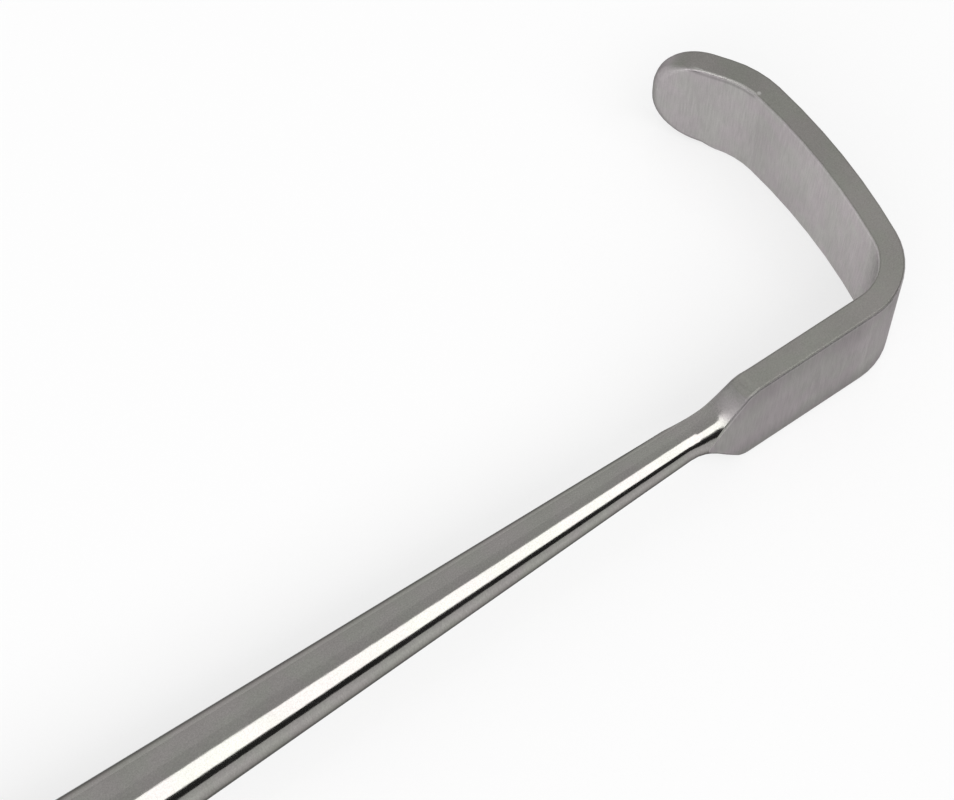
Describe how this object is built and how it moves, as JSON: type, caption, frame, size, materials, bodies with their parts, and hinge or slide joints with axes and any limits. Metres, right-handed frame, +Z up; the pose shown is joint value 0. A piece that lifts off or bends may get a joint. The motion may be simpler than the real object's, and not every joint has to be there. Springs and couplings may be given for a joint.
{
  "type": "handheld surgical retractor",
  "caption": "Steel hand retractor: a round grip tapers to a slim neck, flares at a shoulder and ends in a flat blade bent into an open hook with a rounded tip.",
  "frame": {"origin": "middle of the round grip, on the shaft's axis", "axes": "+X along the shaft towards the blade, +Y the way the hook opens, +Z up, across the blade's width, as the part lies on a table"},
  "size_m": [0.2001, 0.0322, 0.01],
  "materials": {
    "steel": "polished round shaft, satin blade"
  },
  "bodies": {
    "root": {"retractor": "steel"}
  },
  "joints": []
}
